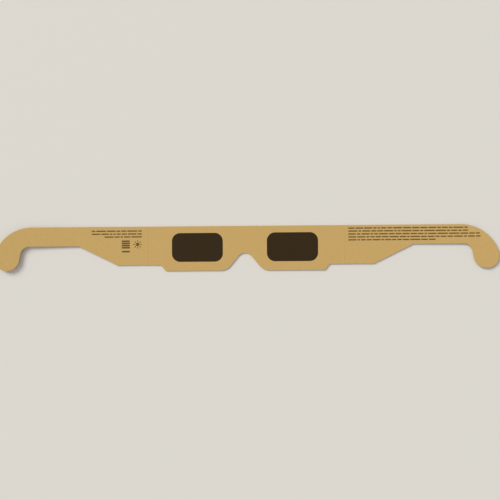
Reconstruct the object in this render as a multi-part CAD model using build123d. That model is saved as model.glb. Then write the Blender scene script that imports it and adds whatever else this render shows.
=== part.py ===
from build123d import *
import math
import os

# Card eclipse glasses, laid flat and unfolded with the wearer's side up.
# Two sheets of card with the same outline are glued together, and a dark filter film lies between them
# behind each window. The front panel carries the two windows and the nose notch. A pressed crease on each
# side lets a temple fold up and over the wearer's side. Each temple tapers to a narrow arm and ends in an
# ear hook. X runs along the glasses, Y from the nose notch up to the brow edge, and Z up through the card.
# The origin is the centre of the outline, on the surface that the glasses lie on. Lengths are millimetres.

# Front panel, from the nose out to the crease: bridge, window, margin, step and shoulder
bridge_width = 33.2
window_width = 38.4
window_side_margin = 8.7
step_run = 3.8
step_corner_radius = 1.2
shoulder_width = 10.3

# Front panel, from the brow edge down to the chin edge
brow_margin = 5.1
window_height = 21.7
window_corner_radius = 6.2
chin_margin = 6.7
step_drop = 4.4

# Nose notch
nose_height = 13.2
nose_window_margin = 2.9
nose_apex_radius = 6.3
nose_foot_radius = 10.0

# Temples, measured from the crease
temple_length = 115.5
taper_start = 22.4
taper_run = 29.4
taper_corner_radius = 3.0
arm_height = 14.5

# Ear hook
hook_back_radius = 29.3
lobe_radius = 9.4
lobe_drop = 23.4
throat_lean_deg = 12.0
throat_radius = 6.8

# Sheets, from the sky side up to the wearer's side
card_thick = 0.35
film_thick = 0.08
film_glue_thick = 0.04
bond_thick = film_thick + film_glue_thick
stack_thick = card_thick + bond_thick + card_thick

# Filter films, which reach past the windows under the card
film_overlap_x = 4.0
film_overlap_y = 3.2
film_corner_radius = 2.0
film_glue_setback = 0.8
film_pocket_gap = 0.4

# Pressed creases: a channel in the sky side and a bead on the wearer's side
channel_width = 0.9
channel_depth = 0.10
bead_height = 0.10
crease_shoulder = 0.35
crease_width = channel_width + 2 * crease_shoulder

# The temples have dried with a slight curl, so their tips stand off the table
left_tip_rise = 3.0
right_tip_rise = 1.0

# Places worked out from the sizes
overrun = 1.0
window_x = (bridge_width + window_width) / 2
step_x = bridge_width / 2 + window_width + window_side_margin
crease_x = step_x + shoulder_width
front_height = brow_margin + window_height + chin_margin
side_height = front_height - step_drop
brow_y = front_height / 2
chin_y = -front_height / 2
side_y = brow_y - side_height
arm_y = brow_y - arm_height
window_y = brow_y - brow_margin - window_height / 2
panel_x = crease_x - crease_width / 2
root_x = crease_x + crease_width / 2
tip_x = crease_x + temple_length
bond_low = card_thick
inner_low = card_thick + bond_thick


def on_circle(centre, radius, angle):
    """The point of a circle at an angle in degrees."""
    turn = math.radians(angle)
    return Vector(centre.X + radius * math.cos(turn), centre.Y + radius * math.sin(turn))


def arc(centre, radius, start, end):
    """An arc of a circle between two angles in degrees."""
    return ThreePointArc(*(on_circle(centre, radius, angle) for angle in (start, (start + end) / 2, end)))


def round_corners(face, corners):
    """Rounds corners of a flat shape, given as pairs of a point and a radius."""
    for point, radius in corners:
        corner = face.vertices().sort_by_distance(Vector(*point))[0]
        face = fillet(corner, radius)
    return face


def layer(face, low, thick):
    """A flat layer of the stack, from the height of its underside and its thickness."""
    return Pos(0, 0, low) * extrude(face, amount=thick)


def window_shape(margin=0.0):
    """The right window's outline, grown by a margin."""
    width = window_width + 2 * margin
    height = window_height + 2 * margin
    shape = RectangleRounded(width, height, window_corner_radius + margin)
    return Pos(window_x, window_y) * shape


def film_shape(margin=0.0):
    """The right film's outline, grown by a margin."""
    width = window_width + 2 * (film_overlap_x + margin)
    height = window_height + 2 * (film_overlap_y + margin)
    shape = RectangleRounded(width, height, film_corner_radius + margin)
    return Pos(window_x, window_y) * shape


def both_sides(shape):
    """A shape of the right side together with its mirror image."""
    return shape + mirror(shape, about=Plane.YZ)


def front_outline():
    """The front panel between the creases, with its stepped lower edge and the nose notch."""
    foot_x = bridge_width / 2 - nose_window_margin
    # Each flank of the notch runs up from its foot and touches the circle that rounds the apex
    foot_to_circle = Vector(foot_x, nose_height - nose_apex_radius)
    flank = math.atan2(foot_to_circle.Y, foot_x) + math.asin(nose_apex_radius / foot_to_circle.length)
    apex = (0, chin_y + foot_x * math.tan(flank))
    foot = (foot_x, chin_y)
    step_high = (step_x, side_y)
    step_low = (step_x - step_run, chin_y)
    right = [foot, step_low, step_high, (panel_x, side_y), (panel_x, brow_y)]
    left = [(-x, y) for x, y in reversed(right)]
    rounds = [(foot, nose_foot_radius), (step_low, step_corner_radius), (step_high, step_corner_radius)]
    mirrored = [((-x, y), radius) for (x, y), radius in rounds]
    face = make_face(Polyline(apex, *right, *left, close=True))
    return round_corners(face, [(apex, nose_apex_radius), *rounds, *mirrored])


def temple_outline():
    """The right temple beyond its crease: wide root, taper, narrow arm and ear hook."""
    lobe = Vector(tip_x - lobe_radius, brow_y - lobe_drop)
    reach = hook_back_radius - lobe_radius
    lobe_rise = hook_back_radius - lobe_drop
    back = Vector(lobe.X - math.sqrt(reach**2 - lobe_rise**2), brow_y - hook_back_radius)
    meeting = math.degrees(math.asin(lobe_rise / reach))
    back_arc = arc(back, hook_back_radius, 90, meeting)
    lobe_arc = arc(lobe, lobe_radius, meeting, throat_lean_deg - 180)
    throat_low = lobe_arc @ 1
    throat_run = (arm_y - throat_low.Y) * math.tan(math.radians(throat_lean_deg))
    throat = (throat_low.X - throat_run, arm_y)
    taper_low = (crease_x + taper_start, side_y)
    taper_high = (taper_low[0] + taper_run, arm_y)
    brow_edge = Line((root_x, brow_y), back_arc @ 0)
    under_edge = Polyline(throat_low, throat, taper_high, taper_low, (root_x, side_y), (root_x, brow_y))
    face = make_face([brow_edge, back_arc, lobe_arc, under_edge])
    rounds = [(throat, throat_radius), (taper_high, taper_corner_radius), (taper_low, taper_corner_radius)]
    return round_corners(face, rounds)


def curled_layer(face, tip_rise, low, thick):
    """A right temple layer, level at the crease and bent in one arc up to its tip."""
    span = tip_x - root_x
    bend_radius = (span**2 + tip_rise**2) / (2 * tip_rise)
    centre = Vector(root_x, bend_radius)
    under_radius = bend_radius - low
    top_radius = under_radius - thick
    start = -90 - math.degrees(overrun / bend_radius)
    end = -90 + math.degrees((span + tip_rise + overrun) / bend_radius)
    under = arc(centre, under_radius, start, end)
    top = arc(centre, top_radius, end, start)
    section = make_face([under, Line(under @ 1, top @ 0), top, Line(top @ 1, under @ 0)])
    band = extrude(Plane.XZ * section, amount=front_height, both=True)
    return band & layer(face, -overrun, tip_rise + stack_thick + 2 * overrun)


def crease_strip(section):
    """A right crease strip: its cross-section run down the crease."""
    top_end = Plane(origin=(crease_x, brow_y, 0), x_dir=(1, 0, 0), z_dir=(0, -1, 0))
    return top_end * extrude(section, amount=side_height)


def strip_section(low, thick):
    """A plain rectangle across the crease, from the height of its underside and its thickness."""
    return Pos(0, low + thick / 2) * Rectangle(crease_width, thick)


def pressed_arch(height, base):
    """The low arch of a pressed crease, in cross-section, standing on a base height."""
    left, right = (-channel_width / 2, base), (channel_width / 2, base)
    return make_face([ThreePointArc(left, (0, base + height), right), Line(right, left)])


def both_temples(name, low, thick):
    """The same layer of the right and left temples, as named solids."""
    outline = temple_outline()
    right = curled_layer(outline, right_tip_rise, low, thick)
    left = mirror(curled_layer(outline, left_tip_rise, low, thick), about=Plane.YZ)
    return {f"right_temple_{name}": right, f"left_temple_{name}": left}


def both_copies(name, solid):
    """A solid of the right side and its mirror image, as named solids."""
    return {f"right_{name}": solid, f"left_{name}": mirror(solid, about=Plane.YZ)}


def front_parts():
    card = front_outline() - both_sides(window_shape())
    bond = front_outline() - both_sides(film_shape(film_pocket_gap))
    return {
        "front_outer_card": layer(card, 0, card_thick),
        "front_bond": layer(bond, bond_low, bond_thick),
        "front_inner_card": layer(card, inner_low, card_thick),
    }


def filter_parts():
    ring = film_shape() - window_shape(film_glue_setback)
    glue = layer(ring, bond_low, film_glue_thick)
    film = layer(film_shape(), bond_low + film_glue_thick, film_thick)
    return both_copies("filter_glue", glue) | both_copies("filter_film", film)


def temple_parts():
    outer = both_temples("outer_card", 0, card_thick)
    bond = both_temples("bond", bond_low, bond_thick)
    inner = both_temples("inner_card", inner_low, card_thick)
    return outer | bond | inner


def crease_parts():
    outer = strip_section(0, card_thick) - pressed_arch(channel_depth, 0)
    bond = strip_section(bond_low, bond_thick)
    inner = strip_section(inner_low, card_thick) + pressed_arch(bead_height, stack_thick)
    return (
        both_copies("crease_outer_card", crease_strip(outer))
        | both_copies("crease_bond", crease_strip(bond))
        | both_copies("crease_inner_card", crease_strip(inner))
    )


os.makedirs("parts", exist_ok=True)
parts = front_parts() | filter_parts() | temple_parts() | crease_parts()
for node, solid in parts.items():
    export_step(solid, f"parts/{node}.step")
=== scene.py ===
# Card eclipse glasses, unfolded, seen from straight above.
# The card is built sheet by sheet, as it is laminated: outer sheet, glue, filter film, inner sheet.
import math
import random

import bmesh
import bpy
from mathutils import Matrix, Vector


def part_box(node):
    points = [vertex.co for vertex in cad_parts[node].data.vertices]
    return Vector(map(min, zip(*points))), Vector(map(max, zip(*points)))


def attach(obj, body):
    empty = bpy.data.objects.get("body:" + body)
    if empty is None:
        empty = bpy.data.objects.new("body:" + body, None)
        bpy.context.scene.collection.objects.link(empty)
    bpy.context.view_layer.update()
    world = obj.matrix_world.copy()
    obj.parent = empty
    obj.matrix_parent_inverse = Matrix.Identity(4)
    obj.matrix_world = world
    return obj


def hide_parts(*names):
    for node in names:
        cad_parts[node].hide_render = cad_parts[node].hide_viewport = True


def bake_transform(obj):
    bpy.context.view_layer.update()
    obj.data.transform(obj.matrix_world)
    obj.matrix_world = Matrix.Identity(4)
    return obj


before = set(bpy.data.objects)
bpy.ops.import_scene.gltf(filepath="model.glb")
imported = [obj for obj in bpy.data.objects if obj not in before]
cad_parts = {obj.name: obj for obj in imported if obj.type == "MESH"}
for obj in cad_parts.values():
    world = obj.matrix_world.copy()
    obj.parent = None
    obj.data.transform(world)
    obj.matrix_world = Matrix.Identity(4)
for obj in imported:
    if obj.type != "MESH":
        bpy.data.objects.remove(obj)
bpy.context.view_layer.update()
mm = 0.001
print("frame loaded")

# Places and thicknesses taken from the CAD part
panelLow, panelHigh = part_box("front_outer_card")
innerLow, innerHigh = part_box("front_inner_card")
bondLow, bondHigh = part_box("front_bond")
creaseLow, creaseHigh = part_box("right_crease_outer_card")
filmLow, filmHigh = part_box("right_filter_film")
glueLow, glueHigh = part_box("right_filter_glue")
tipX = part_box("right_temple_outer_card")[1].x
browY, chinY, sideY = panelHigh.y, panelLow.y, creaseLow.y
panelX, rootX = panelHigh.x, creaseHigh.x
creaseX = (panelX + rootX) / 2
windowX, windowY = (filmLow.x + filmHigh.x) / 2, (filmLow.y + filmHigh.y) / 2
filmSize = (filmHigh.x - filmLow.x, filmHigh.y - filmLow.y)
outerThick = panelHigh.z - panelLow.z
innerThick = innerHigh.z - innerLow.z
bondThick = bondHigh.z - bondLow.z

# The die's cut lines. Radii and runs are the CAD part's.
die = {
    "windowSize": (38.4 * mm, 21.7 * mm),
    "windowRadius": 6.2 * mm,
    "stepX": 63.7 * mm,
    "stepRun": 3.8 * mm,
    "stepRadius": 1.2 * mm,
    "noseHeight": 13.2 * mm,
    "noseFootX": 13.7 * mm,
    "noseTopRadius": 6.3 * mm,
    "noseFootRadius": 10.0 * mm,
    "armY": browY - 14.5 * mm,
    "taperStart": 22.4 * mm,
    "taperRun": 29.4 * mm,
    "taperRadius": 3.0 * mm,
    "hookBackRadius": 29.3 * mm,
    "lobeRadius": 9.4 * mm,
    "lobeDrop": 23.4 * mm,
    "throatLean": 12.0,  # degrees
    "throatRadius": 6.8 * mm,
    "filmRadius": 2.0 * mm,
    "filmPocketGap": 0.4 * mm,
    "glueSetBack": 0.8 * mm,
    "arcStep": 4.0,  # degrees between points on an arc
}


# Pen: an outline is drawn as a chain of edges from a first vertex

def lineTo(bm, tip, x, y):
    end = bmesh.ops.extrude_vert_indiv(bm, verts=[tip])["verts"][0]
    end.co = (x, y, 0)
    return end


def arcRound(bm, tip, x, y, degrees):
    steps = max(2, math.ceil(abs(degrees) / die["arcStep"]))
    turned = bmesh.ops.spin(
        bm, geom=[tip], cent=(x, y, 0), axis=(0, 0, 1), angle=math.radians(degrees), steps=steps
    )
    return next(item for item in turned["geom_last"] if isinstance(item, bmesh.types.BMVert))


def cornersTo(bm, tip, corners, after):
    # corners are (x, y, radius); after is the point that the last one heads for
    points = [tip.co.xy, *(Vector(corner[:2]) for corner in corners), Vector(after)]
    for before, (x, y, radius), beyond in zip(points, corners, points[2:]):
        corner = Vector((x, y))
        came, goes = (corner - before).normalized(), (beyond - corner).normalized()
        turn = came.angle_signed(goes)  # clockwise is positive here
        if radius == 0:
            tip = lineTo(bm, tip, x, y)
            continue
        start = corner - came * radius * math.tan(abs(turn) / 2)
        side = Vector((came.y, -came.x)) * math.copysign(radius, turn)
        tip = lineTo(bm, tip, *start)
        tip = arcRound(bm, tip, *(start + side), -math.degrees(turn))
    return tip


def drawRounded(bm, x, y, size, radius):
    width, height = size[0] / 2, size[1] / 2
    corners = [
        (x + across * width, y + up * height, radius)
        for across, up in ((1, 1), (1, -1), (-1, -1), (-1, 1))
    ]
    first = bm.verts.new((x, y + height, 0))
    tip = cornersTo(bm, first, corners, first.co.xy)
    bm.edges.new((tip, first))


def grown(size, margin):
    return size[0] + 2 * margin, size[1] + 2 * margin


def drawFront(bm, holeSize, holeRadius):
    toCircle = Vector((die["noseFootX"], die["noseHeight"] - die["noseTopRadius"]))
    flank = math.atan2(toCircle.y, toCircle.x) + math.asin(die["noseTopRadius"] / toCircle.length)
    apexY = chinY + die["noseFootX"] * math.tan(flank)
    right = [
        (panelX, browY, 0),
        (panelX, sideY, 0),
        (die["stepX"], sideY, die["stepRadius"]),
        (die["stepX"] - die["stepRun"], chinY, die["stepRadius"]),
        (die["noseFootX"], chinY, die["noseFootRadius"]),
    ]
    left = [(-x, y, radius) for x, y, radius in reversed(right)]
    first = bm.verts.new((0, browY, 0))
    tip = cornersTo(bm, first, [*right, (0, apexY, die["noseTopRadius"]), *left], first.co.xy)
    bm.edges.new((tip, first))
    for side in (1, -1):
        drawRounded(bm, side * windowX, windowY, holeSize, holeRadius)


def drawTemple(bm):
    lobe = Vector((tipX - die["lobeRadius"], browY - die["lobeDrop"]))
    reach = die["hookBackRadius"] - die["lobeRadius"]
    rise = die["hookBackRadius"] - die["lobeDrop"]
    back = Vector((lobe.x - math.sqrt(reach**2 - rise**2), browY - die["hookBackRadius"]))
    meeting = math.degrees(math.asin(rise / reach))
    lean = math.radians(die["throatLean"])
    first = bm.verts.new((rootX, browY, 0))
    tip = lineTo(bm, first, back.x, browY)
    tip = arcRound(bm, tip, *back, meeting - 90)
    tip = arcRound(bm, tip, *lobe, die["throatLean"] - 180 - meeting)
    throatX = tip.co.x - (die["armY"] - tip.co.y) * math.tan(lean)
    taperX = creaseX + die["taperStart"]
    corners = [
        (throatX, die["armY"], die["throatRadius"]),
        (taperX + die["taperRun"], die["armY"], die["taperRadius"]),
        (taperX, sideY, die["taperRadius"]),
        (rootX, sideY, 0),
    ]
    tip = cornersTo(bm, tip, corners, first.co.xy)
    bm.edges.new((tip, first))


# Sheets: an outline is filled, given a narrow band along its cut edge, divided, and made thick

sheetLook = {
    "rimBand": 0.5 * mm,
    "rimRound": 0.05 * mm,
    "rimSteps": 3,
    "glueShy": 0.06 * mm,  # the glue stops just short of the cut edge
    "seamReach": 1.1,  # times glueShy: glue this near a seam is drawn out to it
    "cell": 4.0 * mm,
    "steep": 0.5,  # faces whose normal rises less than this are the cut edge
    "sharpAngle": 50.0,  # degrees
    "touching": 0.01 * mm,
    "merge": 0.02 * mm,
    "doubles": 0.002 * mm,
}


def onSeam(point):
    return min(abs(abs(point.x) - panelX), abs(abs(point.x) - rootX)) < sheetLook["touching"]


def atSeamEnd(point):
    return onSeam(point) and min(abs(point.y - browY), abs(point.y - sideY)) < sheetLook["merge"]


def cutAcross(bm, place, normal):
    bmesh.ops.bisect_plane(
        bm,
        geom=bm.verts[:] + bm.edges[:] + bm.faces[:],
        plane_co=place,
        plane_no=normal,
        dist=sheetLook["merge"],
    )


def divide(bm, cellX, cellY):
    xs, ys = [v.co.x for v in bm.verts], [v.co.y for v in bm.verts]
    for axis, low, high, cell in ((0, min(xs), max(xs), cellX), (1, min(ys), max(ys), cellY)):
        count = max(1, round((high - low) / cell))
        normal = Vector((1 - axis, axis, 0))
        for step in range(1, count):
            cutAcross(bm, normal * (low + (high - low) * step / count), normal)


def insetAll(bm, thickness):
    return bmesh.ops.inset_region(
        bm, faces=bm.faces[:], use_boundary=True, use_even_offset=True, thickness=thickness
    )["faces"]


def filledSheet(draw, shy=0.0, band=0.0, cell=sheetLook["cell"]):
    bm = bmesh.new()
    rim = bm.verts.layers.float.new("rim")
    draw(bm)
    bmesh.ops.triangle_fill(
        bm, use_beauty=True, use_dissolve=False, edges=bm.edges[:], normal=(0, 0, 1)
    )
    if shy:
        bmesh.ops.delete(bm, geom=insetAll(bm, shy), context="FACES")
        for v in bm.verts:  # the seams stay closed
            for seamX in (panelX, rootX):
                if abs(abs(v.co.x) - seamX) < sheetLook["seamReach"] * shy:
                    v.co.x = math.copysign(seamX, v.co.x)
    if band:
        insetAll(bm, band)
        for y in (browY - band, sideY + band):
            cutAcross(bm, (0, y, 0), (0, 1, 0))
        # At the seams the band ends square, as it does on the crease strips
        slanted = [e for e in bm.edges if not e.is_boundary and any(atSeamEnd(v.co) for v in e.verts)]
        bmesh.ops.dissolve_edges(bm, edges=slanted, use_verts=False)
        for edge in bm.edges:
            if edge.is_boundary and not all(onSeam(v.co) for v in edge.verts):
                for v in edge.verts:
                    v[rim] = 1.0
    divide(bm, cell, cell)
    return bm


def thicken(bm, thick, rounding=0.0):
    raised = bmesh.ops.extrude_face_region(bm, geom=bm.faces[:])["geom"]
    raisedVerts = [item for item in raised if isinstance(item, bmesh.types.BMVert)]
    bmesh.ops.translate(bm, verts=raisedVerts, vec=(0, 0, thick))
    bmesh.ops.recalc_face_normals(bm, faces=bm.faces[:])
    for face in bm.faces:
        face.material_index = 1 if abs(face.normal.z) < sheetLook["steep"] else 0
    if rounding:
        cutEdges = [
            edge for edge in bm.edges
            if len({face.material_index for face in edge.link_faces}) == 2
            and not all(onSeam(v.co) for v in edge.verts)
        ]
        bmesh.ops.bevel(
            bm,
            geom=cutEdges,
            offset=rounding,
            segments=sheetLook["rimSteps"],
            profile=0.5,
            affect="EDGES",
            material=-1,
        )
        bmesh.ops.remove_doubles(bm, verts=bm.verts[:], dist=sheetLook["doubles"])


def mirrored(bm):
    bmesh.ops.scale(bm, verts=bm.verts[:], vec=(-1, 1, 1))
    bmesh.ops.reverse_faces(bm, faces=bm.faces[:])


def addPiece(bm, name, materials, body=None, replaced=()):
    bmesh.ops.recalc_face_normals(bm, faces=bm.faces[:])
    mesh = bpy.data.meshes.new(name)
    bm.to_mesh(mesh)
    bm.free()
    for polygon in mesh.polygons:
        polygon.use_smooth = True
    mesh.set_sharp_from_angle(angle=math.radians(sheetLook["sharpAngle"]))
    piece = bpy.data.objects.new(name, mesh)
    bpy.context.scene.collection.objects.link(piece)
    for material in materials:
        mesh.materials.append(material)
    piece.modifiers.new("evenNormals", "WEIGHTED_NORMAL").keep_sharp = True
    if body:
        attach(piece, body)
    if replaced:
        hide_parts(*replaced)
    return piece


# Colours as they look in daylight, as red, green and blue bytes

def daylight(red, green, blue):
    shares = [channel / 255 for channel in (red, green, blue)]
    # the sRGB curve
    linear = [((s + 0.055) / 1.055) ** 2.4 if s > 0.04045 else s / 12.92 for s in shares]
    return (*linear, 1.0)


finish = {
    "board": daylight(197, 162, 98),
    "boardWarm": daylight(192, 156, 92),
    "boardPale": daylight(202, 168, 105),
    "strand": daylight(214, 184, 126),
    "cutEdge": daylight(206, 180, 130),
    "cutEdgeDark": daylight(176, 145, 94),
    "fleck": daylight(160, 128, 78),
    "glue": daylight(140, 110, 66),
    "film": daylight(47, 33, 10),
    "filmDust": daylight(120, 104, 80),
    "ink": daylight(103, 78, 33),
    "inkThin": daylight(117, 90, 43),
    "floor": daylight(222, 218, 210),
}


# Shader nodes that the materials share

def groupTree(name, inputs, outputs):
    tree = bpy.data.node_groups.new(name, "ShaderNodeTree")
    for label, value in inputs.items():
        socket = tree.interface.new_socket(name=label, in_out="INPUT", socket_type="NodeSocketFloat")
        socket.default_value = value
    for label in outputs:
        tree.interface.new_socket(name=label, in_out="OUTPUT", socket_type="NodeSocketFloat")
    return tree, tree.nodes.new("NodeGroupInput").outputs, tree.nodes.new("NodeGroupOutput").inputs


def placeGroup(tree, group, values):
    node = tree.nodes.new("ShaderNodeGroup")
    node.node_tree = group
    for label, value in values.items():
        node.inputs[label].default_value = value
    return node.outputs


def feed(tree, socket, value):
    if isinstance(value, bpy.types.NodeSocket):
        tree.links.new(value, socket)
    else:
        socket.default_value = value


def mathNode(tree, operation, *values):
    node = tree.nodes.new("ShaderNodeMath")
    node.operation = operation
    for socket, value in zip(node.inputs, values):
        feed(tree, socket, value)
    return node.outputs[0]


def noiseNode(tree, vector, scale, detail, roughness):
    node = tree.nodes.new("ShaderNodeTexNoise")
    feed(tree, node.inputs["Vector"], vector)
    feed(tree, node.inputs["Scale"], scale)
    feed(tree, node.inputs["Detail"], detail)
    feed(tree, node.inputs["Roughness"], roughness)
    return node.outputs["Fac"]


def rangeNode(tree, value, low, high, newLow=0.0, newHigh=1.0):
    node = tree.nodes.new("ShaderNodeMapRange")
    node.interpolation_type = "SMOOTHSTEP"
    feed(tree, node.inputs["Value"], value)
    for label, amount in (("From Min", low), ("From Max", high), ("To Min", newLow), ("To Max", newHigh)):
        feed(tree, node.inputs[label], amount)
    return node.outputs["Result"]


def mixColour(tree, factor, a, b):
    node = tree.nodes.new("ShaderNodeMix")
    node.data_type = "RGBA"
    for label, value in (("Factor_Float", factor), ("A_Color", a), ("B_Color", b)):
        feed(tree, next(s for s in node.inputs if s.identifier == label), value)
    return next(s for s in node.outputs if s.identifier == "Result_Color")


def stretched(tree, scale=(1.0, 1.0, 1.0), turn=0.0):
    # Texture mapping turns first and then divides, so the pattern lies along the turned direction
    mapping = tree.nodes.new("ShaderNodeMapping")
    mapping.vector_type = "TEXTURE"
    mapping.inputs["Rotation"].default_value = (0, 0, math.radians(turn))
    mapping.inputs["Scale"].default_value = [1 / share for share in scale]
    place = tree.nodes.new("ShaderNodeTexCoord").outputs["Object"]
    tree.links.new(place, mapping.inputs["Vector"])
    return mapping.outputs["Vector"]


def newMaterial(name, specular, roughness=None):
    material = bpy.data.materials.new(name)
    material.use_nodes = True
    tree = material.node_tree
    shader = tree.nodes["Principled BSDF"]
    shader.inputs["Specular IOR Level"].default_value = specular
    if roughness is not None:
        shader.inputs["Roughness"].default_value = roughness
    return material, tree, shader


def addBump(tree, shader, height, distance):
    bump = tree.nodes.new("ShaderNodeBump")
    bump.inputs["Distance"].default_value = distance
    bump.inputs["Strength"].default_value = 1.0
    tree.links.new(height, bump.inputs["Height"])
    tree.links.new(bump.outputs["Normal"], shader.inputs["Normal"])


# Pressed board: short fibres that cross, soft cloudiness, and a few darker flecks

fibreLook = {
    "stretch": (0.5, 1.0, 1.0),  # fibres lie along x
    "fibre": (5.0, 0.65),  # detail and roughness of a noise
    "cloud": (4.0, 0.55),
    "fleck": (2.0, 0.4),
    "fleckScale": 0.6,  # of the fibre scale
    "fleckTop": 0.8,
    "strandStretch": (0.3, 1.0, 1.0),
    "strand": (2.0, 0.5),
    "strandScale": 0.42,  # of the fibre scale
    "strandTurns": (-28, 12, 47),  # degrees
    "strandWidth": 0.03,
    "strandShown": (0.42, 0.6),  # a strand shows only here and there
    "strandHeight": 0.35,
    "cloudHeight": 0.4,
}


def strandLines(tree, turn, scale):
    # Thin crooked lines where a stretched noise passes its middle value
    place = stretched(tree, fibreLook["strandStretch"], turn)
    wander = noiseNode(tree, place, scale, *fibreLook["strand"])
    away = mathNode(tree, "ABSOLUTE", mathNode(tree, "SUBTRACT", wander, 0.5))
    return rangeNode(tree, away, 0.0, fibreLook["strandWidth"], 1.0, 0.0)


def buildFibreGroup():
    tree, given, out = groupTree(
        "pressedFibre",
        {"Fibre Scale": 2200.0, "Cloud Scale": 45.0, "Fleck Share": 0.06},
        ("Fibre", "Strand", "Cloud", "Fleck", "Height"),
    )
    along = stretched(tree, fibreLook["stretch"])
    fibre = noiseNode(tree, along, given["Fibre Scale"], *fibreLook["fibre"])
    cloud = noiseNode(tree, stretched(tree), given["Cloud Scale"], *fibreLook["cloud"])
    fleckScale = mathNode(tree, "MULTIPLY", given["Fibre Scale"], fibreLook["fleckScale"])
    fleckNoise = noiseNode(tree, along, fleckScale, *fibreLook["fleck"])
    fleckEdge = mathNode(tree, "SUBTRACT", fibreLook["fleckTop"], given["Fleck Share"])
    fleck = rangeNode(tree, fleckNoise, fleckEdge, fibreLook["fleckTop"])
    strandScale = mathNode(tree, "MULTIPLY", given["Fibre Scale"], fibreLook["strandScale"])
    first, second, third = [strandLines(tree, turn, strandScale) for turn in fibreLook["strandTurns"]]
    crossing = mathNode(tree, "MAXIMUM", mathNode(tree, "MAXIMUM", first, second), third)
    shown = rangeNode(tree, fibre, *fibreLook["strandShown"])
    strand = mathNode(tree, "MULTIPLY", crossing, shown)
    raised = mathNode(tree, "MULTIPLY_ADD", strand, fibreLook["strandHeight"], fibre)
    height = mathNode(tree, "MULTIPLY_ADD", cloud, fibreLook["cloudHeight"], raised)
    for socket, value in zip(out, (fibre, strand, cloud, fleck, height)):
        tree.links.new(value, socket)
    return tree


# A broken paler band that follows the rim attribute: partly wear where handling rubs the die-cut edge,
# partly a painted highlight where light catches that edge

rubbedHighlightLook = {
    "noise": (3.0, 0.6),
    "breaks": (0.35, 0.65),
}


def buildRubbedHighlightGroup():
    tree, given, out = groupTree("rubbedHighlightRim", {"Reach": 0.5, "Break Scale": 350.0}, ("Mask",))
    rim = tree.nodes.new("ShaderNodeAttribute")
    rim.attribute_name = "rim"
    broken = noiseNode(tree, stretched(tree), given["Break Scale"], *rubbedHighlightLook["noise"])
    low = mathNode(tree, "SUBTRACT", 1.0, given["Reach"])
    band = rangeNode(tree, rim.outputs["Fac"], low, 1.0)
    mask = mathNode(tree, "MULTIPLY", band, rangeNode(tree, broken, *rubbedHighlightLook["breaks"]))
    tree.links.new(mask, out["Mask"])
    return tree


fibreGroup = buildFibreGroup()
rubbedHighlightGroup = buildRubbedHighlightGroup()


# Faces of the card

boardLook = {
    "fibre": {"Fibre Scale": 2200.0, "Cloud Scale": 38.0, "Fleck Share": 0.05},
    "rubbedHighlight": {"Reach": 0.6, "Break Scale": 300.0},
    "cloudRange": (0.2, 0.8),
    "evenShare": 0.7,
    "grainRange": (0.3, 0.7),
    "grainShare": 0.6,
    "strandShare": 0.34,
    "fleckShare": 0.3,
    "rubbedHighlightShare": 0.3,
    "roughness": (0.2, 0.8, 0.7, 0.86),  # the fibre's range, then the roughness's
    "specular": 0.22,
    "bump": 0.012 * mm,
}


def buildBoardFace():
    material, tree, shader = newMaterial("boardFace", boardLook["specular"])
    fibre = placeGroup(tree, fibreGroup, boardLook["fibre"])
    rubbedHighlight = placeGroup(tree, rubbedHighlightGroup, boardLook["rubbedHighlight"])
    warm, pale = finish["boardWarm"], finish["boardPale"]
    cloudy = mixColour(tree, rangeNode(tree, fibre["Cloud"], *boardLook["cloudRange"]), warm, pale)
    even = mixColour(tree, boardLook["evenShare"], cloudy, finish["board"])
    grainy = mixColour(tree, rangeNode(tree, fibre["Fibre"], *boardLook["grainRange"]), warm, pale)
    tone = mixColour(tree, boardLook["grainShare"], even, grainy)
    # The rubbed band is mixed towards the pale cut-edge colour: wear plus a painted highlight along the
    # cut edges
    for mask, share, colour in (
        (fibre["Strand"], "strandShare", "strand"),
        (fibre["Fleck"], "fleckShare", "fleck"),
        (rubbedHighlight["Mask"], "rubbedHighlightShare", "cutEdge"),
    ):
        tone = mixColour(tree, mathNode(tree, "MULTIPLY", mask, boardLook[share]), tone, finish[colour])
    tree.links.new(tone, shader.inputs["Base Color"])
    gloss = rangeNode(tree, fibre["Fibre"], *boardLook["roughness"])
    tree.links.new(gloss, shader.inputs["Roughness"])
    addBump(tree, shader, fibre["Height"], boardLook["bump"])
    return material


# Cut edges, which show the board's paler core in thin layers

cutLook = {
    "layerStretch": (0.3, 0.3, 1.0),
    "layers": (7000.0, 3.0, 0.6),  # scale, detail and roughness of a noise
    "layerRange": (0.25, 0.75),
    "fuzz": (4500.0, 4.0, 0.7),
    "fuzzRange": (0.35, 0.65, 0.1, 0.7),
    "roughness": 0.9,
    "specular": 0.15,
    "bump": 0.02 * mm,
}


def buildCutEdge():
    material, tree, shader = newMaterial("cutEdge", cutLook["specular"], cutLook["roughness"])
    layers = noiseNode(tree, stretched(tree, cutLook["layerStretch"]), *cutLook["layers"])
    fuzz = noiseNode(tree, stretched(tree), *cutLook["fuzz"])
    layerShare = rangeNode(tree, layers, *cutLook["layerRange"])
    layered = mixColour(tree, layerShare, finish["cutEdgeDark"], finish["cutEdge"])
    tone = mixColour(tree, rangeNode(tree, fuzz, *cutLook["fuzzRange"]), layered, finish["board"])
    tree.links.new(tone, shader.inputs["Base Color"])
    addBump(tree, shader, mathNode(tree, "ADD", layers, fuzz), cutLook["bump"])
    return material


# Glue, which shows as a thin line between the sheets

glueLook = {
    "patches": (500.0, 3.0, 0.6),
    "patchRange": (0.3, 0.7),
    "roughness": 0.35,
    "specular": 0.4,
    "bump": 0.01 * mm,
}


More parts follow.
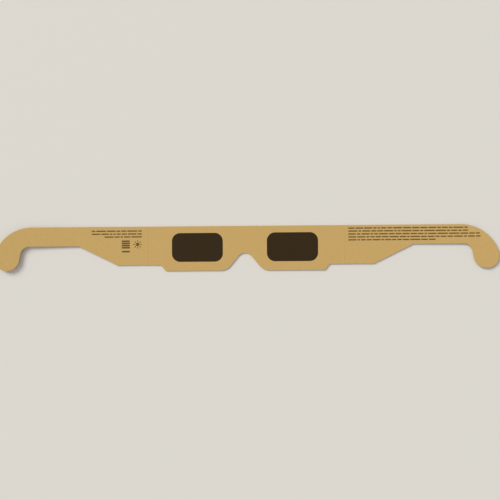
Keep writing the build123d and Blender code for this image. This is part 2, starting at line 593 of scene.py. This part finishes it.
def buildGlueLine():
    material, tree, shader = newMaterial("glueLine", glueLook["specular"], glueLook["roughness"])
    patches = noiseNode(tree, stretched(tree), *glueLook["patches"])
    patchShare = rangeNode(tree, patches, *glueLook["patchRange"])
    tone = mixColour(tree, patchShare, finish["glue"], finish["cutEdgeDark"])
    tree.links.new(tone, shader.inputs["Base Color"])
    addBump(tree, shader, patches, glueLook["bump"])
    return material


# Black polymer film: satin, faintly drawn along one way, with a little dust

filmLook = {
    "drawnStretch": (0.06, 1.0, 1.0),
    "drawn": (420.0, 3.0, 0.5),
    "dust": (1500.0, 1.0, 0.3),
    "dustRange": (0.74, 0.8),
    "dustShare": 0.35,
    "roughness": (0.3, 0.7, 0.46, 0.54),  # the drawn lines' range, then the roughness's
    "dustRoughness": 0.3,
    "specular": 0.15,
    "bump": 0.002 * mm,
}


def buildFilm():
    material, tree, shader = newMaterial("filterFilm", filmLook["specular"])
    drawn = noiseNode(tree, stretched(tree, filmLook["drawnStretch"]), *filmLook["drawn"])
    dustNoise = noiseNode(tree, stretched(tree), *filmLook["dust"])
    dust = rangeNode(tree, dustNoise, *filmLook["dustRange"])
    dustShare = mathNode(tree, "MULTIPLY", dust, filmLook["dustShare"])
    tone = mixColour(tree, dustShare, finish["film"], finish["filmDust"])
    tree.links.new(tone, shader.inputs["Base Color"])
    satin = rangeNode(tree, drawn, *filmLook["roughness"])
    gloss = mathNode(tree, "MULTIPLY_ADD", dust, filmLook["dustRoughness"], satin)
    tree.links.new(gloss, shader.inputs["Roughness"])
    addBump(tree, shader, drawn, filmLook["bump"])
    return material


# Printing ink, thinner where the board's fibre takes it up

inkLook = {
    "fibre": {"Fibre Scale": 2600.0, "Cloud Scale": 90.0, "Fleck Share": 0.0},
    "thinRange": (0.35, 0.7),
    "roughness": 0.7,
    "specular": 0.2,
}


def buildInk():
    material, tree, shader = newMaterial("printInk", inkLook["specular"], inkLook["roughness"])
    fibre = placeGroup(tree, fibreGroup, inkLook["fibre"])
    thin = rangeNode(tree, fibre["Fibre"], *inkLook["thinRange"])
    tree.links.new(mixColour(tree, thin, finish["ink"], finish["inkThin"]), shader.inputs["Base Color"])
    return material


# Each piece takes one material for its faces and one for its cut edges
glueLine, filterFilm, printInk = buildGlueLine(), buildFilm(), buildInk()
boardMaterials = [buildBoardFace(), buildCutEdge()]
glueMaterials = [glueLine, glueLine]
filmMaterials = [filterFilm, filterFilm]
inkMaterials = [printInk, printInk]
print("materials ready")


# How the sheets lie

settling = {
    "panelLift": 0.12 * mm,  # the front panel isn't quite flat
    "panelWaveX": 61 * mm,
    "panelWaveY": 74 * mm,
    "panelPhases": (1.1, 0.4),
    "fade": 14 * mm,
}


def panelWave(x, y):
    # A soft swell that eases out before the creases
    fade = min(1.0, max(0.0, (panelX - abs(x)) / settling["fade"]))
    fade = fade * fade * (3 - 2 * fade)
    phaseX, phaseY = settling["panelPhases"]
    wave = math.sin(math.tau * x / settling["panelWaveX"] + phaseX)
    wave *= math.cos(math.tau * y / settling["panelWaveY"] + phaseY)
    return settling["panelLift"] * fade * (0.5 + 0.5 * wave)


def settlePanel(bm, low):
    for v in bm.verts:
        v.co.z += low + panelWave(v.co.x, v.co.y)


def settleTemple(bm, low, tipRise):
    # One gentle arc from the crease to the tip, each sheet bent about the same centre
    span = tipX - rootX
    bend = (span**2 + tipRise**2) / (2 * tipRise)
    for v in bm.verts:
        out = max(0.0, v.co.x - rootX)
        v.co.z = bend - math.sqrt((bend - low - v.co.z) ** 2 - out**2)


def boardSheet(draw, thick):
    bm = filledSheet(draw, band=sheetLook["rimBand"])
    thicken(bm, thick, sheetLook["rimRound"])
    return bm


# Front panel

def drawCardFront(bm):
    drawFront(bm, die["windowSize"], die["windowRadius"])


def drawBondFront(bm):
    gap = die["filmPocketGap"]
    drawFront(bm, grown(filmSize, gap), die["filmRadius"] + gap)


for name, node, low, thick in (
    ("frontOuterSheet", "front_outer_card", panelLow.z, outerThick),
    ("frontInnerSheet", "front_inner_card", innerLow.z, innerThick),
):
    sheet = boardSheet(drawCardFront, thick)
    settlePanel(sheet, low)
    addPiece(sheet, name, boardMaterials, "front", [node])

bond = filledSheet(drawBondFront, shy=sheetLook["glueShy"])
thicken(bond, bondThick)
settlePanel(bond, bondLow.z)
addPiece(bond, "frontGlueCoat", glueMaterials, "front", ["front_bond"])
print("front panel built")


# Filter films and the glue that holds them

film = {
    "cell": 1.6 * mm,
    "ripple": 0.05 * mm,
    "rippleLengths": (17 * mm, 11 * mm),
    "rippleSlant": 0.4,
    "shortShare": 0.5,  # of the long ripple's height
    "heldShare": 0.25,  # of the window's height, where the edge still holds the film flat
    "phases": {"left": 0.7, "right": 2.1},
}


def filmRipple(x, y, phase):
    # The film is loose inside the window and held flat by its edges
    width, height = die["windowSize"]
    inside = min(width / 2 - abs(abs(x) - windowX), height / 2 - abs(y - windowY))
    loose = min(1.0, max(0.0, inside / (height * film["heldShare"])))
    longWave, shortWave = film["rippleLengths"]
    wave = math.sin(math.tau * (x + film["rippleSlant"] * y) / longWave + phase)
    wave += film["shortShare"] * math.sin(math.tau * y / shortWave + 2 * phase)
    return film["ripple"] * loose * wave / (1 + film["shortShare"])


def drawFilm(bm):
    drawRounded(bm, windowX, windowY, filmSize, die["filmRadius"])


def drawFilmGlue(bm):
    drawFilm(bm)
    setBack = die["glueSetBack"]
    holeSize, holeRadius = grown(die["windowSize"], 2 * setBack), die["windowRadius"] + setBack
    drawRounded(bm, windowX, windowY, holeSize, holeRadius)


for side in ("left", "right"):
    filmSheet = filledSheet(drawFilm, cell=film["cell"])
    thicken(filmSheet, filmHigh.z - filmLow.z)
    glueRing = filledSheet(drawFilmGlue)
    thicken(glueRing, glueHigh.z - glueLow.z)
    if side == "left":
        mirrored(filmSheet)
        mirrored(glueRing)
    settlePanel(filmSheet, filmLow.z)
    settlePanel(glueRing, glueLow.z)
    for v in filmSheet.verts:
        v.co.z += filmRipple(v.co.x, v.co.y, film["phases"][side])
    for piece, name, node, materials, slot in (
        (filmSheet, "FilterFilm", "_filter_film", filmMaterials, "filter_film"),
        (glueRing, "FilmGlue", "_filter_glue", glueMaterials, "adhesive"),
    ):
        addPiece(piece, side + name, materials, "front", [side + node])
print("filter films built")


# Temples

def tipRiseOf(side):
    low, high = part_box(side + "_temple_outer_card")
    return high.z - low.z - outerThick


for side in ("left", "right"):
    rise = tipRiseOf(side)
    temple = side + "_temple"
    for name, node, low, thick in (
        ("TempleOuterSheet", "_outer_card", panelLow.z, outerThick),
        ("TempleInnerSheet", "_inner_card", innerLow.z, innerThick),
    ):
        sheet = boardSheet(drawTemple, thick)
        settleTemple(sheet, low, rise)
        if side == "left":
            mirrored(sheet)
        addPiece(sheet, side + name, boardMaterials, temple, [temple + node])
    coat = filledSheet(drawTemple, shy=sheetLook["glueShy"])
    thicken(coat, bondThick)
    settleTemple(coat, bondLow.z, rise)
    if side == "left":
        mirrored(coat)
    addPiece(coat, side + "TempleGlueCoat", glueMaterials, temple, [temple + "_bond"])
print("temples built")


# Creases: narrow strips between the front panel and a temple, with a pressed bead on top of the inner
# sheet and a channel under the outer sheet

crease = {
    "columns": 24,
    "beadHeight": 0.10 * mm,
    "channelDepth": 0.10 * mm,
    "pressWidth": 0.9 * mm,
}


def creaseSheet(thick, rounding, shy=0.0, bead=0.0, channel=0.0):
    bm = bmesh.new()
    rim = bm.verts.layers.float.new("rim")
    high, low = browY - shy, sideY + shy
    first = bm.verts.new((panelX, high, 0))
    tip = first
    for x, y in ((rootX, high), (rootX, low), (panelX, low)):
        tip = lineTo(bm, tip, x, y)
    bm.edges.new((tip, first))
    bmesh.ops.contextual_create(bm, geom=bm.edges[:])
    divide(bm, (rootX - panelX) / crease["columns"], sheetLook["cell"])
    for y in (high - sheetLook["rimBand"], low + sheetLook["rimBand"]):
        cutAcross(bm, (0, y, 0), (0, 1, 0))
    for v in bm.verts:
        v[rim] = 1.0 if min(high - v.co.y, v.co.y - low) < sheetLook["touching"] else 0.0
    thicken(bm, thick, rounding)
    for v in bm.verts:
        arch = max(0.0, 1 - (2 * (v.co.x - creaseX) / crease["pressWidth"]) ** 2)
        v.co.z += arch * (bead if v.co.z > thick / 2 else channel)
    return bm


for side in ("left", "right"):
    outer = creaseSheet(outerThick, sheetLook["rimRound"], channel=crease["channelDepth"])
    coat = creaseSheet(bondThick, 0.0, shy=sheetLook["glueShy"])
    inner = creaseSheet(innerThick, sheetLook["rimRound"], bead=crease["beadHeight"])
    for strip, name, node, low, materials, slot in (
        (outer, "CreaseOuterSheet", "_crease_outer_card", panelLow.z, boardMaterials, "card"),
        (coat, "CreaseGlueCoat", "_crease_bond", bondLow.z, glueMaterials, "adhesive"),
        (inner, "CreaseInnerSheet", "_crease_inner_card", innerLow.z, boardMaterials, "card"),
    ):
        bmesh.ops.translate(strip, verts=strip.verts[:], vec=(0, 0, low))
        if side == "left":
            mirrored(strip)
        piece = addPiece(strip, side + name, materials, replaced=[side + node])
        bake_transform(piece)
print("creases built")


# Printed rows of bars, a block of bars, and a sun. The left side is drawn on the right and mirrored.

printing = {
    "thick": 0.030 * mm,
    "sink": 0.006 * mm,  # into the card, so that no bar stands off its curve
    "barHeight": 0.95 * mm,
    "barRadius": 0.3 * mm,
    "barSteps": 2,
    "barLengths": (1.8 * mm, 8.0 * mm),
    "barGap": 0.65 * mm,
    "rowPitch": 2.2 * mm,
    "rightStart": 77.6 * mm,
    "rightTop": 14.4 * mm,
    "rightRows": (88.6 * mm, 88.9 * mm, 97.6 * mm, 98.1 * mm, 64.9 * mm),
    "leftStart": 77.8 * mm,
    "leftTop": 13.5 * mm,
    "leftRows": (37.9 * mm, 37.9 * mm, 28.3 * mm),
    "seed": 12,
    "signSize": 6.2 * mm,
    "signY": 3.4 * mm,
    "blockX": 90.0 * mm,
    "blockBars": 4,
    "blockPitches": 3.8,  # the sign's size, in steps from bar to bar
    "blockThin": 5,  # the sign's size, in bar heights
    "shortBar": (90.0 * mm, -2.0 * mm, 6.2 * mm),  # x, y and length
    "sunX": 81.0 * mm,
    "sunDisc": 0.22,  # these four are shares of the sign's size
    "rayPlace": 0.41,
    "rayLength": 0.2,
    "rayWidth": 0.1,
    "rays": 8,
    "discSides": 32,
}


def addPlate(bm, place):
    # A unit square, which place stretches and moves
    return bmesh.ops.create_grid(bm, x_segments=1, y_segments=1, size=0.5, matrix=place)["verts"]


def addBar(bm, x, y, length, height):
    corners = addPlate(bm, Matrix.Translation((x, y, 0)) @ Matrix.Diagonal((length, height, 1, 1)))
    bmesh.ops.bevel(
        bm,
        geom=corners,
        offset=printing["barRadius"],
        segments=printing["barSteps"],
        profile=0.5,
        affect="VERTICES",
        material=-1,
    )


def addRow(bm, start, y, length, draws):
    # Bars of uneven length fill the row to its end
    x, end = start, start + length
    shortest, longest = printing["barLengths"]
    while x < end:
        bar = draws.uniform(shortest, longest)
        if end - x - bar < shortest:
            bar = end - x
        addBar(bm, x + bar / 2, y, bar, printing["barHeight"])
        x += bar + printing["barGap"]


def addBlock(bm):
    size = printing["signSize"]
    height = size / printing["blockThin"]
    middle = (printing["blockBars"] - 1) / 2
    for row in range(printing["blockBars"]):
        y = printing["signY"] + (row - middle) * size / printing["blockPitches"]
        addBar(bm, printing["blockX"], y, size, height)
    x, y, length = printing["shortBar"]
    addBar(bm, x, y, length, height)


def addSun(bm):
    centre = Matrix.Translation((printing["sunX"], printing["signY"], 0))
    size, rays = printing["signSize"], printing["rays"]
    radius = size * printing["sunDisc"]
    bmesh.ops.create_circle(
        bm, cap_ends=True, segments=printing["discSides"], radius=radius, matrix=centre
    )
    shape = Matrix.Diagonal((size * printing["rayLength"], size * printing["rayWidth"], 1, 1))
    ray = Matrix.Translation((size * printing["rayPlace"], 0, 0)) @ shape
    for step in range(rays):
        addPlate(bm, centre @ Matrix.Rotation(math.tau * step / rays, 4, "Z") @ ray)


def inkPiece(bm, name, side):
    thicken(bm, printing["thick"])
    settleTemple(bm, innerHigh.z - printing["sink"], tipRiseOf(side))
    if side == "left":
        mirrored(bm)
    addPiece(bm, name, inkMaterials, side + "_temple")


draws = random.Random(printing["seed"])
for side in ("right", "left"):
    rows = bmesh.new()
    for row, length in enumerate(printing[side + "Rows"]):
        y = printing[side + "Top"] - row * printing["rowPitch"]
        addRow(rows, printing[side + "Start"], y, length, draws)
    inkPiece(rows, side + "PrintedBars", side)
signs = bmesh.new()
addBlock(signs)
addSun(signs)
inkPiece(signs, "leftPrintedSigns", "left")
print("printing built")


# Floor, light and camera

studio = {
    "floorSize": 8.0,
    "floorRoughness": 0.85,
    "floorSpecular": 0.2,
    "worldStrength": 0.53,
    "sunStrength": 2.46,
    "sunSpread": 30.0,  # degrees across, for soft shadows
    "sunFrom": (-0.95, 0.8, 0.85),
    "lens": 50.0,
    "cameraPlace": (0.01756, -0.00154, 0.52298),
    "cameraTurn": (0.0, 1.504, -0.416),  # degrees from looking straight down
}


def buildFloor():
    bm = bmesh.new()
    bmesh.ops.create_grid(bm, x_segments=1, y_segments=1, size=studio["floorSize"] / 2)
    mesh = bpy.data.meshes.new("floor")
    bm.to_mesh(mesh)
    bm.free()
    floor = bpy.data.objects.new("floor", mesh)
    bpy.context.scene.collection.objects.link(floor)
    material, _, shader = newMaterial("paleFloor", studio["floorSpecular"], studio["floorRoughness"])
    shader.inputs["Base Color"].default_value = finish["floor"]
    mesh.materials.append(material)


def buildWorld():
    # It lights the card softly, and looks as pale as the floor where the floor ends
    world = bpy.data.worlds.new("studio")
    bpy.context.scene.world = world
    world.use_nodes = True
    tree = world.node_tree
    lit = tree.nodes["Background"]
    lit.inputs["Color"].default_value = (1, 1, 1, 1)
    lit.inputs["Strength"].default_value = studio["worldStrength"]
    seen = tree.nodes.new("ShaderNodeBackground")
    seen.inputs["Color"].default_value = finish["floor"]
    rays = tree.nodes.new("ShaderNodeLightPath").outputs
    direct = mathNode(tree, "MAXIMUM", rays["Is Camera Ray"], rays["Is Glossy Ray"])
    direct = mathNode(tree, "MAXIMUM", direct, rays["Is Transmission Ray"])
    either = tree.nodes.new("ShaderNodeMixShader")
    tree.links.new(direct, either.inputs["Fac"])
    tree.links.new(lit.outputs["Background"], either.inputs[1])
    tree.links.new(seen.outputs["Background"], either.inputs[2])
    tree.links.new(either.outputs["Shader"], tree.nodes["World Output"].inputs["Surface"])


def buildLight():
    sun = bpy.data.lights.new("sun", "SUN")
    sun.energy = studio["sunStrength"]
    sun.angle = math.radians(studio["sunSpread"])
    lamp = bpy.data.objects.new("sun", sun)
    lamp.location = studio["sunFrom"]
    lamp.rotation_mode = "QUATERNION"
    lamp.rotation_quaternion = (-Vector(studio["sunFrom"])).to_track_quat("-Z", "Y")
    bpy.context.scene.collection.objects.link(lamp)


def buildCamera():
    data = bpy.data.cameras.new("camera")
    data.lens = studio["lens"]
    camera = bpy.data.objects.new("camera", data)
    camera.location = studio["cameraPlace"]
    camera.rotation_euler = [math.radians(angle) for angle in studio["cameraTurn"]]
    bpy.context.scene.collection.objects.link(camera)
    bpy.context.scene.camera = camera


buildFloor()
buildWorld()
buildLight()
buildCamera()
bpy.context.scene.view_settings.view_transform = "Standard"
print("studio ready")
